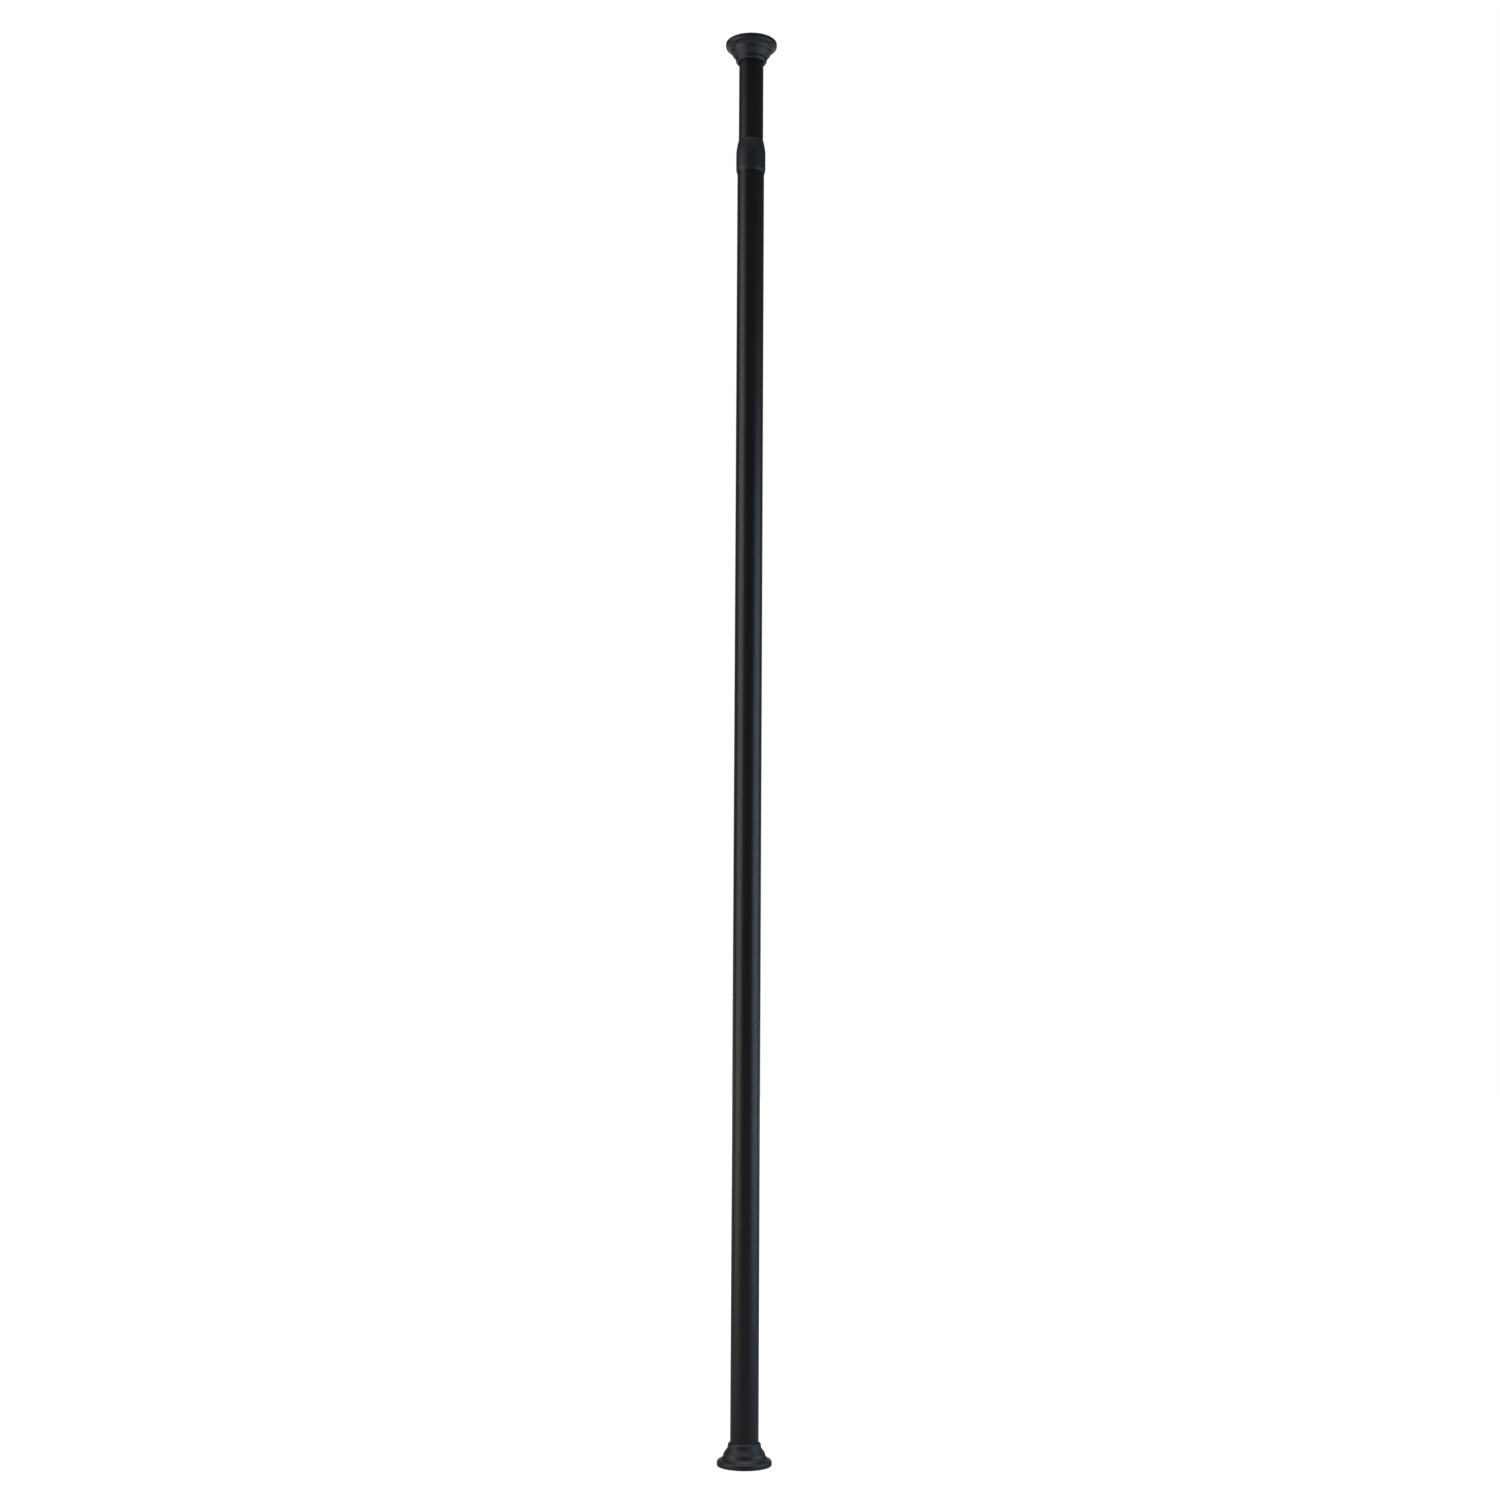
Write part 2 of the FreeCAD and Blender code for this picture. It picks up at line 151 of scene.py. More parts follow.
class RodCaps(bpy.types.PropertyGroup):
    """Sizes of the covers at both ends"""
    wall: size("Wall", "Thickness of the moulding", 1.6)
    rim_wall: size("Rim wall", "Thickness of the rim round the rubber", 2.0)
    rim_round: size("Rim rounding", "Radius of the rim's outer edge", 0.6)
    rim_band: size("Rim band", "Height where the rounded shoulder starts", 2.8)
    shoulder_high: size("Shoulder height", "Height of the rounded shoulder", 2.3)
    shoulder_in: size("Shoulder reach", "How far the shoulder comes in", 1.8)
    bell_high: size("Bell height", "Height of the hollow flank", 3.8)
    bell_in: size("Bell reach", "How far the hollow flank comes in", 3.3)
    bell_sag: size("Bell hollow", "Depth of the flank's hollow", 0.62)
    step_high: size("Ring height", "Height of the upright ring above the flank", 0.9)
    step_in: size("Ring taper", "How far that ring comes in", 0.15)
    cove_high: size("Cove height", "Height of the cove between cone and neck", 1.1)
    cove_in: size("Cove reach", "How far the cove comes in", 0.45)
    cove_sag: size("Cove hollow", "Depth of the cove", 0.08)
    neck_wall: size("Neck wall", "Neck, over the radius of the lower tube", 1.95)
    neck_high: size("Neck height", "Band round the neck, up to the mouth", 3.5)
    neck_taper: size("Neck taper", "How far the neck comes in on its way up", 0.2)
    mouth_round: size("Mouth rounding", "Height of the rounded lip", 1.6)
    mouth_wall: size("Mouth wall", "Where the mouth's flat starts, over the lower tube", 0.5)
    mouth_sag: size("Mouth sag", "Roundness of the lip's slope", 0.12)
    mouth_chamfer: size("Mouth chamfer", "On the inner edge of the mouth", 0.15)
    foot_fit: size("Foot fit", "Gap between the foot's cover and the lower tube", 0.1)
    head_fit: size("Head fit", "Gap between the head's cover and the upper tube", 0.3)
    snap_bead: size("Snap bead", "Ridge inside the rim that holds the rubber", 0.15)
    snap_width: size("Snap width", "Width of that ridge", 0.6)
    snap_height: size("Snap height", "Height of the ridge's lower edge", 1.2)
    rib_wall: size("Rib wall", "Thickness of the ribs inside", 1.2)
    rib_low: size("Rib foot", "Height of the ribs' lower edge, clear of the insert", 8.3)
    ribs: IntProperty(name="Ribs", description="Ribs inside the cover", default=6, min=0)
    edge: size("Edge", "Rounding of its corners", 0.12)


class RodPads(bpy.types.PropertyGroup):
    """Sizes of the rubber pads"""
    floor: size("Floor", "Thickness of the rubber under the insert", 2.0)
    lip_wall: size("Lip wall", "Thickness of the lip round the flange", 1.3)
    lip_high: size("Lip height", "Thickness of the lip over the flange", 0.6)
    lip_in: size("Lip reach", "How far the lip reaches over the flange", 1.4)
    flange: size("Flange", "Thickness of the flange that it wraps", 2.0)
    rounding: size("Rounding", "Radius of the face's outer edge", 0.6)
    fit: size("Fit", "Gap between the rubber and what it grips", 0.04)
    grooves: IntProperty(name="Grooves", description="Rings sunk in the face", default=3, min=0)
    groove_width: size("Groove width", "Width of a ring", 1.2)
    groove_depth: size("Groove depth", "Depth of a ring", 0.6)
    groove_pitch: size("Groove pitch", "From one ring to the next", 4.0)
    groove_first: size("First groove", "Radius of the smallest ring", 7.0)
    edge: size("Edge", "Rounding of its corners", 0.12)


class RodScrew(bpy.types.PropertyGroup):
    """Sizes of the adjusting screw"""
    lead: size("Lead", "How far the nut runs in one turn", 5.0)
    starts: IntProperty(name="Starts", description="Threads side by side", default=2, min=1)
    crest: size("Crest", "Width of a thread at its top", 0.9)
    flank: size("Flank", "How far a flank runs along the screw", 0.35)
    shank: size("Shank", "Radius of the plain shank", 4.0)
    crest_in: size("Crest under size", "How far the crests stay inside the shank", 0.04)
    root: size("Root", "Radius at the bottom of the thread", 3.2)
    chamfer: size("Chamfer", "At the ends of shank and thread", 0.4)
    head_high: size("Head height", "Height of the head over the washer", 4.0)
    socket: size("Socket", "Width across the corners of the hexagon socket", 5.8)
    socket_deep: size("Socket depth", "Depth of that socket", 2.4)
    pin_hole: size("Pin hole", "Radius of the hole for the cross pin", 1.29)
    edge: size("Edge", "Rounding of its corners", 0.15)


class RodNut(bpy.types.PropertyGroup):
    """Sizes of the nut in the upper tube"""
    play: size("Thread play", "Clearance between the threads, each way", 0.1)
    lip: size("Thread lip", "How far the nut's crests stay off the cutter's root", 0.05)
    wall: size("Wall", "Thickness of hub and sleeve", 2.0)
    fit: size("Fit", "Gap between the nut and the tube that holds it", 0.04)
    groove_fit: size("Groove fit", "Gap round the tube's bead", 0.1)
    ribs: IntProperty(name="Ribs", description="Ribs between hub and sleeve", default=4, min=0)
    rib_wall: size("Rib wall", "Thickness of those ribs", 1.6)
    edge: size("Edge", "Rounding of its corners", 0.15)


class RodSpring(bpy.types.PropertyGroup):
    """Sizes of the spring"""
    wire: size("Wire", "Diameter of the wire", 1.3)
    radius: size("Radius", "Of the coil, at the middle of the wire", 5.6)
    turns: IntProperty(name="Open turns", description="Turns between the closed ends", default=8,
                       min=1)
    ground: size("Ground", "How far the end of the wire stands inside the ground face", 0.13)
    travel: size("Travel", "How far the plunger squeezes it", 20.0)
    fit: size("Fit", "Gap at its seats and between closed turns", 0.04)


class RodColours(bpy.types.PropertyGroup):
    """Colours of the finishes"""
    powder_coat: colour("Powder coat", "Baked coat on both tubes", "0C0E0F")
    cap_plastic: colour("Cap plastic", "Black moulded caps and collar", "11181D")
    pad_rubber: colour("Pad rubber", "Soft pads on both faces", "141516")
    glass_nylon: colour("Filled nylon", "Black inserts in the caps", "1A1B1D")
    natural_nylon: colour("Natural nylon", "Uncoloured pieces of the lock", "D8D3C4")
    zinc_plate: colour("Zinc plate", "Screw and pins", "C3C7CB")
    spring_wire: colour("Spring wire", "Oiled music wire", "6E6F72")


class RodStage(bpy.types.PropertyGroup):
    """Camera and lamps"""
    distance: size("Camera distance", "From the lens to the rod's axis", 1667.8)
    height: size("Camera height", "Lens, over the foot's face", 359.6)
    offset: size("Camera offset", "Lens, to the right of the rod's axis", 1.73)
    pitch: tilt("Pitch", "How far the camera looks up", 6.794)
    roll: tilt("Roll", "How far the camera leans to its left", 0.285)
    lens: FloatProperty(name="Lens", description="Focal length", default=50.0, unit="CAMERA")
    sensor: FloatProperty(name="Sensor", description="Width of the image in the camera",
                          default=36.0, unit="CAMERA")
    left_power: power("Left lamp", "Power of the lamp on the left", 10.0)
    right_power: power("Right lamp", "Power of the lamp on the right", 8.8)
    top_power: power("Top lamp", "Power of the lamp high over the rod", 230.0)
    room: FloatProperty(name="Room light", description="Strength of the light all round",
                        default=0.12, min=0.0)


GROUPS = {
    "rod_tubes": RodTubes,
    "rod_collar": RodCollar,
    "rod_caps": RodCaps,
    "rod_pads": RodPads,
    "rod_screw": RodScrew,
    "rod_nut": RodNut,
    "rod_spring": RodSpring,
    "rod_colours": RodColours,
    "rod_stage": RodStage,
}


def bow(start, end, sag, steps=ARC_STEPS):
    """Arc between two (radius, height) points, off its chord by sag, to the right of its run."""
    start = Vector(start)
    end = Vector(end)
    chord = end - start
    along = chord.normalized()
    across = Vector((along.y, -along.x)) * math.copysign(1.0, sag)
    half = 2 * math.atan2(2 * abs(sag), chord.length)
    radius = chord.length / (2 * math.sin(half))
    centre = (start + end) / 2 + across * (abs(sag) - radius)
    angles = [half * (2 * n / steps - 1) for n in range(steps + 1)]
    return [centre + across * radius * math.cos(a) + along * radius * math.sin(a) for a in angles]


def swell(upright, end):
    """Arc that leaves the first point along the axis and bends in to the second."""
    reach = abs(upright[0] - end[0])
    rise = abs(upright[1] - end[1])
    sag = math.hypot(reach, rise) / 2 * math.tan(math.atan2(reach, rise) / 2)
    return bow(upright, end, math.copysign(sag, end[1] - upright[1]))


def back(points):
    return list(reversed(points))


def settle():
    """Move the active object's place, turn and scale into its mesh."""
    bpy.ops.object.transform_apply(location=True, rotation=True, scale=True)


def start_mesh(name, first):
    """Begin a piece as one vertex, selected in edit mode."""
    bpy.ops.object.select_all(action="DESELECT")
    bpy.ops.mesh.primitive_plane_add(size=MM, location=first)
    piece = bpy.context.object
    piece.name = name
    piece.data.name = name
    bpy.ops.object.mode_set(mode="EDIT")
    bpy.ops.mesh.merge(type="CENTER")
    return piece


def draw(points):
    """Extrude the selected vertex from point to point."""
    here = points[0]
    for there in points[1:]:
        move = there - here
        if move.length > TINY:
            bpy.ops.mesh.extrude_vertices_move(TRANSFORM_OT_translate={"value": move})
            here = there


def tidy_mesh():
    """Merge what meets and turn the faces outwards."""
    bpy.ops.mesh.select_all(action="SELECT")
    bpy.ops.mesh.remove_doubles(threshold=MERGE)
    bpy.ops.mesh.normals_make_consistent(inside=False)


def close_mesh():
    """Tidy the mesh, leave edit mode and put the object's origin at the rod's."""
    tidy_mesh()
    bpy.ops.object.mode_set(mode="OBJECT")
    settle()


def held(points):
    """Put a point near each end of a long straight run, so that its shading stays true."""
    out = [points[0]]
    for here, there in zip(points, points[1:]):
        run = there - here
        if run.length > 4 * HOLD:
            out += [here + run.normalized() * HOLD, there - run.normalized() * HOLD]
        out.append(there)
    return out


def turned(name, outline):
    """Spin a half-section of (radius, height) points about the rod's axis."""
    points = [Vector((point[0], 0.0, point[1])) for point in outline]
    on_axis = points[0].x < TINY and points[-1].x < TINY
    piece = start_mesh(name, points[0])
    draw(held(points if on_axis else points + points[:1]))
    bpy.ops.mesh.select_all(action="SELECT")
    bpy.ops.mesh.spin(steps=ROUND_STEPS, angle=math.tau, center=(0, 0, 0), axis=(0, 0, 1))
    close_mesh()
    return piece


def make_active(piece):
    bpy.ops.object.select_all(action="DESELECT")
    piece.select_set(True)
    bpy.context.view_layer.objects.active = piece


def apply_modifier(piece, kind, **settings):
    """Add one modifier with its settings and apply it."""
    make_active(piece)
    modifier = piece.modifiers.new(kind.title(), kind)
    for name, value in settings.items():
        setattr(modifier, name, value)
    bpy.ops.object.modifier_apply(modifier=modifier.name)


def ease_edges(piece, width):
    """Round every corner of a piece."""
    apply_modifier(piece, "BEVEL", width=width, segments=EDGE_STEPS, limit_method="ANGLE",
                   angle_limit=EASED_ANGLE)


def smooth(piece):
    make_active(piece)
    bpy.ops.object.shade_smooth_by_angle(angle=SHARP_ANGLE)


def combine(piece, tool, operation):
    """Join a tool to a piece, or cut it out, and delete the tool."""
    apply_modifier(piece, "BOOLEAN", object=tool, operation=operation, solver="EXACT")
    bpy.data.objects.remove(tool, do_unlink=True)


def cut_level(height, upper):
    """Cut the mesh in edit mode at a height, drop what lies past it and close it with a face."""
    bpy.ops.mesh.select_all(action="SELECT")
    bpy.ops.mesh.bisect(plane_co=(0, 0, height), plane_no=(0, 0, 1), use_fill=True,
                        clear_outer=upper, clear_inner=not upper, threshold=TINY)


def threaded(name, crest_radius, root_radius, crest, low, high):
    """Solid core with the screw's thread. Every thread here has the same place along the rod."""
    screw = bpy.context.scene.rod_screw
    first = (math.floor(low / screw.lead) - 1) * screw.lead
    pitch = screw.lead / screw.starts
    points = []
    for n in range(screw.starts):
        middle = first + (n + 0.5) * pitch
        crest_low = middle - crest / 2
        crest_high = middle + crest / 2
        points += [(root_radius, crest_low - screw.flank), (crest_radius, crest_low),
                   (crest_radius, crest_high), (root_radius, crest_high + screw.flank)]
    points.append((points[0][0], points[0][1] + screw.lead))
    outline = [Vector((r, 0.0, z)) for r, z in points]
    piece = start_mesh(name, outline[0])
    draw(outline)
    close_mesh()
    apply_modifier(piece, "SCREW", screw_offset=screw.lead, steps=THREAD_STEPS,
                   render_steps=THREAD_STEPS, iterations=math.ceil((high - first) / screw.lead) + 1)
    bpy.ops.object.mode_set(mode="EDIT")
    tidy_mesh()
    cut_level(low, upper=False)
    cut_level(high, upper=True)
    close_mesh()
    return piece


def hole_bar(sides, radius, reach, height, turn=0.0):
    """Bar that cuts a hole: it reaches this far each way, up the rod or turned from it."""
    bpy.ops.object.select_all(action="DESELECT")
    bpy.ops.mesh.primitive_cylinder_add(vertices=sides, radius=radius, depth=2 * reach,
                                        location=(0, 0, height), rotation=(0, turn, 0))
    return bpy.context.object


def eased_copy(node, name, width):
    """Copy a solid, join its loose triangles into plain faces and round its corners."""
    mesh = frame["nodes"][node].data.copy()
    mesh.name = name
    piece = bpy.data.objects.new(name, mesh)
    bpy.context.collection.objects.link(piece)
    make_active(piece)
    bpy.ops.object.mode_set(mode="EDIT")
    bpy.ops.mesh.customdata_custom_splitnormals_clear()
    bpy.ops.mesh.select_all(action="SELECT")
    bpy.ops.mesh.remove_doubles(threshold=MERGE)
    bpy.ops.mesh.dissolve_limited(angle_limit=PLAIN_ANGLE)
    close_mesh()
    ease_edges(piece, width)
    return piece


def turn_over(piece, height):
    """Turn a cap's piece over, to the rod's upper end."""
    make_active(piece)
    piece.rotation_euler = (math.pi, 0.0, 0.0)
    piece.location = (0.0, 0.0, height)
    settle()


def put(tree, kind, settings=(), values=(), links=()):
    """Add a shader node with its settings, its socket values and the outputs it is fed from."""
    node = tree.nodes.new("ShaderNode" + kind)
    for name, value in dict(settings).items():
        setattr(node, name, value)
    for socket, value in dict(values).items():
        node.inputs[socket].default_value = value
    for socket, output in dict(links).items():
        tree.links.new(output, node.inputs[socket])
    return node


def per_metre(millimetres):
    """Scale of a pattern whose features are this far apart."""
    return 1 / (millimetres * MM)


def new_material(name):
    """An empty material, its node tree and its object coordinates."""
    material = bpy.data.materials.new(name)
    material.use_nodes = True
    tree = material.node_tree
    tree.nodes.clear()
    place = put(tree, "TexCoord").outputs["Object"]
    return material, tree, place


def surface(material, values, links):
    """Finish a material with its main shader."""
    tree = material.node_tree
    shader = put(tree, "BsdfPrincipled", values=values, links=links)
    put(tree, "OutputMaterial", links={"Surface": shader.outputs["BSDF"]})
    return material


def mixed(tree, factor, first, second, amount):
    """Blend two near colours by a pattern, up to an amount of the second."""
    spread = put(tree, "MapRange", values={"To Max": amount}, links={"Value": factor})
    # Of the mix node's sockets, 6 and 7 are its colours, and 2 is the colour that it gives
    mix = put(tree, "Mix", {"data_type": "RGBA"}, {6: [*first, 1.0], 7: [*second, 1.0]},
              {0: spread.outputs["Result"]})
    return mix.outputs[2]


def powder_coated_steel():
    """Black polyester powder baked on steel: satin, with a fine orange peel that softens what it
    mirrors and keeps the highlights broad."""
    colours = bpy.context.scene.rod_colours
    material, tree, place = new_material("powder_coated_steel")
    # The coat's real peel is about 0.8 mm across, drawn here at twice that so that it shows
    peel = put(tree, "TexNoise", values={"Scale": per_metre(1.6), "Detail": 2.0},
               links={"Vector": place})
    # Grains of powder that didn't flow out
    grain = put(tree, "TexNoise", values={"Scale": per_metre(0.35), "Detail": 1.0},
                links={"Vector": place})
    # The coat lies a little thicker here and there along the tube
    drift = put(tree, "TexNoise", values={"Scale": per_metre(60.0), "Detail": 1.0},
                links={"Vector": place})
    base = mixed(tree, drift.outputs["Fac"], colours.powder_coat, linear("111315"), amount=0.6)
    rough = put(tree, "MapRange", values={"To Min": 0.28, "To Max": 0.38},
                links={"Value": grain.outputs["Fac"]})
    waves = put(tree, "Bump", values={"Strength": 0.5, "Distance": 0.02 * MM},
                links={"Height": peel.outputs["Fac"]})
    bumps = put(tree, "Bump", values={"Strength": 0.35, "Distance": 0.01 * MM},
                links={"Height": grain.outputs["Fac"], "Normal": waves.outputs["Normal"]})
    return surface(material, {"IOR": 1.5},
                   {"Base Color": base, "Roughness": rough.outputs["Result"],
                    "Normal": bumps.outputs["Normal"]})


def textured_abs():
    """Black ABS from a spark-eroded mould: an even fine grain that spreads the light wide."""
    colours = bpy.context.scene.rod_colours
    material, tree, place = new_material("textured_abs")
    # Pits of the eroded mould, drawn at twice their 0.15 mm so that they show close by
    pits = put(tree, "TexVoronoi", {"feature": "SMOOTH_F1"}, {"Scale": per_metre(0.3)},
               {"Vector": place})
    # The colour and the gloss drift a little over each moulding
    cloud = put(tree, "TexNoise", values={"Scale": per_metre(6.0), "Detail": 3.0},
                links={"Vector": place})
    base = mixed(tree, cloud.outputs["Fac"], colours.cap_plastic, linear("172026"), amount=0.5)
    rough = put(tree, "MapRange", values={"To Min": 0.42, "To Max": 0.48},
                links={"Value": cloud.outputs["Fac"]})
    bumps = put(tree, "Bump", values={"Strength": 0.45, "Distance": 0.03 * MM},
                links={"Height": pits.outputs["Distance"]})
    return surface(material, {"IOR": 1.53},
                   {"Base Color": base, "Roughness": rough.outputs["Result"],
                    "Normal": bumps.outputs["Normal"]})


def thermoplastic_rubber():
    """Thermoplastic rubber: dull and almost without a highlight, faintly dusty."""
    colours = bpy.context.scene.rod_colours
    material, tree, place = new_material("thermoplastic_rubber")
    dust = put(tree, "TexNoise", values={"Scale": per_metre(3.0), "Detail": 4.0},
               links={"Vector": place})
    skin = put(tree, "TexNoise", values={"Scale": per_metre(0.4), "Detail": 2.0},
               links={"Vector": place})
    base = mixed(tree, dust.outputs["Fac"], colours.pad_rubber, linear("26282A"), amount=0.5)
    bumps = put(tree, "Bump", values={"Strength": 0.5, "Distance": 0.03 * MM},
                links={"Height": skin.outputs["Fac"]})
    return surface(material, {"Roughness": 0.82, "IOR": 1.5, "Specular IOR Level": 0.35},
                   {"Base Color": base, "Normal": bumps.outputs["Normal"]})


def nylon(name, base_colour, fleck_colour, fleck_amount, roughness):
    """Injection-moulded nylon: waxy, with faint flow marks."""
    material, tree, place = new_material(name)
    flow = put(tree, "TexNoise", values={"Scale": per_metre(8.0), "Detail": 3.0, "Distortion": 1.5},
               links={"Vector": place})
    skin = put(tree, "TexNoise", values={"Scale": per_metre(0.5), "Detail": 2.0},
               links={"Vector": place})
    base = mixed(tree, flow.outputs["Fac"], base_colour, fleck_colour, fleck_amount)
    bumps = put(tree, "Bump", values={"Strength": 0.3, "Distance": 0.02 * MM},
                links={"Height": skin.outputs["Fac"]})
    return surface(material, {"Roughness": roughness, "IOR": 1.53},
                   {"Base Color": base, "Normal": bumps.outputs["Normal"]})


def filled_nylon():
    """Moulded nylon with glass fibres, coloured black: duller than nylon without them."""
    black = bpy.context.scene.rod_colours.glass_nylon
    return nylon("filled_nylon", black, linear("2A2B2D"), fleck_amount=0.6, roughness=0.48)


def natural_nylon():
    """Moulded nylon as it comes, uncoloured: milky, with a soft gloss."""
    milky = bpy.context.scene.rod_colours.natural_nylon
    return nylon("natural_nylon", milky, linear("CFC9B6"), fleck_amount=0.8, roughness=0.38)


def zinc_plated_steel():
    """Steel turned and zinc plated: bright, faintly blue and yellow, with tool marks."""
    colours = bpy.context.scene.rod_colours
    material, tree, place = new_material("zinc_plated_steel")
    tint = put(tree, "TexNoise", values={"Scale": per_metre(5.0), "Detail": 2.0},
               links={"Vector": place})
    # Feed marks of the lathe, some 0.3 mm apart up the screw, drawn six times as coarse to show
    marks = put(tree, "TexWave", {"bands_direction": "Z"},
                {"Scale": per_metre(1.885) * WAVE_BAND, "Distortion": 0.6}, {"Vector": place})
    base = mixed(tree, tint.outputs["Fac"], colours.zinc_plate, linear("D6CDB4"), amount=0.7)
    rough = put(tree, "MapRange", values={"To Min": 0.22, "To Max": 0.38},
                links={"Value": tint.outputs["Fac"]})
    bumps = put(tree, "Bump", values={"Strength": 0.2, "Distance": 0.01 * MM},
                links={"Height": marks.outputs["Fac"]})
    return surface(material, {"Metallic": 1.0},
                   {"Base Color": base, "Roughness": rough.outputs["Result"],
                    "Normal": bumps.outputs["Normal"]})


def oiled_spring_wire():
    """Hard-drawn spring wire under oil: dark grey, with a soft sheen and darker smears."""
    colours = bpy.context.scene.rod_colours
    material, tree, place = new_material("oiled_spring_wire")
    oil = put(tree, "TexNoise", values={"Scale": per_metre(4.0), "Detail": 3.0},
              links={"Vector": place})
    base = mixed(tree, oil.outputs["Fac"], colours.spring_wire, linear("3C3A38"), amount=0.8)
    rough = put(tree, "MapRange", values={"To Min": 0.2, "To Max": 0.45},
                links={"Value": oil.outputs["Fac"]})
    return surface(material, {"Metallic": 1.0},
                   {"Base Color": base, "Roughness": rough.outputs["Result"]})


SLOT_FINISHES = {
    "tube_paint": powder_coated_steel,
    "cap_plastic": textured_abs,
    "pad_rubber": thermoplastic_rubber,
    "insert_nylon": filled_nylon,
    "lock_nylon": natural_nylon,
    "zinc_steel": zinc_plated_steel,
    "spring_steel": oiled_spring_wire,
}


def finish(slot):
    """The finish of a slot. Its function, which has the material's name, makes it only once."""
    make = SLOT_FINISHES[slot]
    return bpy.data.materials.get(make.__name__) or make()


def stand_in(piece, node):
    """The finished piece takes a solid's place: its body, its slot and the finish of that slot."""
    smooth(piece)
    piece.data.materials.clear()
    piece.data.materials.append(finish(SLOT_OF[node]))
    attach(piece, BODY_OF[node])
    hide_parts(node)


def cover_outline(caps, pads, tube_radius, fit):
    """Half-section of a cap's cover, from its face upwards."""
    rim = radius_of("foot_cover")
    lift = low_end("foot_cover")
    height = high_end("foot_cover")
    neck_radius = radius_of("outer_tube") + caps.neck_wall
    bore = tube_radius + fit
    rim_bore = rim - caps.rim_wall
    pad_top = pads.floor + pads.flange + pads.lip_high
    shoulder = (rim - caps.shoulder_in, caps.rim_band + caps.shoulder_high)
    step = (shoulder[0] - caps.bell_in, shoulder[1] + caps.bell_high)
    step_top = (step[0] - caps.step_in, step[1] + caps.step_high)
    neck = (neck_radius, height - caps.neck_high)
    cove = (neck[0] + caps.cove_in, neck[1] - caps.cove_high)
    lip = (neck_radius - caps.neck_taper, height - caps.mouth_round)
    mouth = (radius_of("outer_tube") + caps.mouth_wall, height)
    flank = bow(shoulder, step, -caps.bell_sag)
    inside = flank[len(flank) // 2]
    under_step = (step_top[0] - caps.wall, step_top[1])
    under_neck = (bore, neck[1] - caps.wall)
    ridge = (rim_bore - caps.snap_bead, caps.snap_height + caps.snap_width / 2)
    return [
        (rim_bore, lift),
        *back(swell((rim, lift + caps.rim_round), (rim - caps.rim_round, lift))),
        *swell((rim, caps.rim_band), shoulder), *flank, step_top,
        *bow(cove, neck, -caps.cove_sag, steps=4), *bow(lip, mouth, caps.mouth_sag, steps=6),
        (bore + caps.mouth_chamfer, height), (bore, height - caps.mouth_chamfer),
        under_neck, under_step,
        (inside[0] - caps.wall, inside[1]),
        (inside[0] - caps.wall, pad_top), (rim_bore, pad_top),
        (rim_bore, caps.snap_height + caps.snap_width), ridge, (rim_bore, caps.snap_height)]


def cover_rib(caps, tube_radius, fit):
    """One of the ribs that centre a cover on its tube."""
    bore = tube_radius + fit
    outer = radius_of("foot_cover") - caps.shoulder_in - caps.bell_in - caps.wall / 2
    step = caps.rim_band + caps.shoulder_high + caps.bell_high
    top = high_end("foot_cover") - caps.neck_high - caps.wall / 2
    corners = [(bore, caps.rib_low), (outer, caps.rib_low), (outer, step), (bore, top)]
    points = [Vector((r, -caps.rib_wall / 2, z)) for r, z in corners]
    rib = start_mesh("rib", points[0])
    draw(points)
    bpy.ops.mesh.select_all(action="SELECT")
    bpy.ops.mesh.edge_face_add()
    bpy.ops.mesh.extrude_region_move(TRANSFORM_OT_translate={"value": (0, caps.rib_wall, 0)})
    close_mesh()
    return rib


def cap_cover(name, tube_radius, fit):
    """A turned cover with its ribs, standing on the foot's face."""
    caps = bpy.context.scene.rod_caps
    pads = bpy.context.scene.rod_pads
    cover = turned(name, cover_outline(caps, pads, tube_radius, fit))
    ease_edges(cover, caps.edge)
    for n in range(caps.ribs):
        rib = cover_rib(caps, tube_radius, fit)
        rib.rotation_euler.z = math.tau * n / caps.ribs
        settle()
        combine(cover, rib, "UNION")
    return cover


def pad_outline(caps, pads):
    """Half-section of a rubber pad, from its face upwards."""
    outer = radius_of("foot_cover") - caps.rim_wall - pads.fit
    shelf = outer - pads.lip_wall + pads.fit
    lip = outer - pads.lip_wall - pads.lip_in
    seat = pads.floor + pads.flange + pads.fit
    top = pads.floor + pads.flange + pads.lip_high
    notch = outer - caps.snap_bead - pads.fit
    snap_top = caps.snap_height + caps.snap_width
    face = []
    for n in range(pads.grooves):
        middle = pads.groove_first + n * pads.groove_pitch
        near = middle - pads.groove_width / 2
        far = middle + pads.groove_width / 2
        face += [(near, 0.0), (near, pads.groove_depth), (far, pads.groove_depth), (far, 0.0)]
    return [
        (0.0, 0.0), *face,
        *back(swell((outer, pads.rounding), (outer - pads.rounding, 0.0))),
        (outer, caps.snap_height - pads.fit), (notch, caps.snap_height), (notch, snap_top),
        (outer, snap_top + pads.fit), (outer, top), (lip, top), (lip, seat), (shelf, seat),
        (shelf, pads.floor), (0.0, pads.floor)]


def rubber_pad(name):
    pads = bpy.context.scene.rod_pads
    pad = turned(name, pad_outline(bpy.context.scene.rod_caps, pads))
    ease_edges(pad, pads.edge)
    return pad


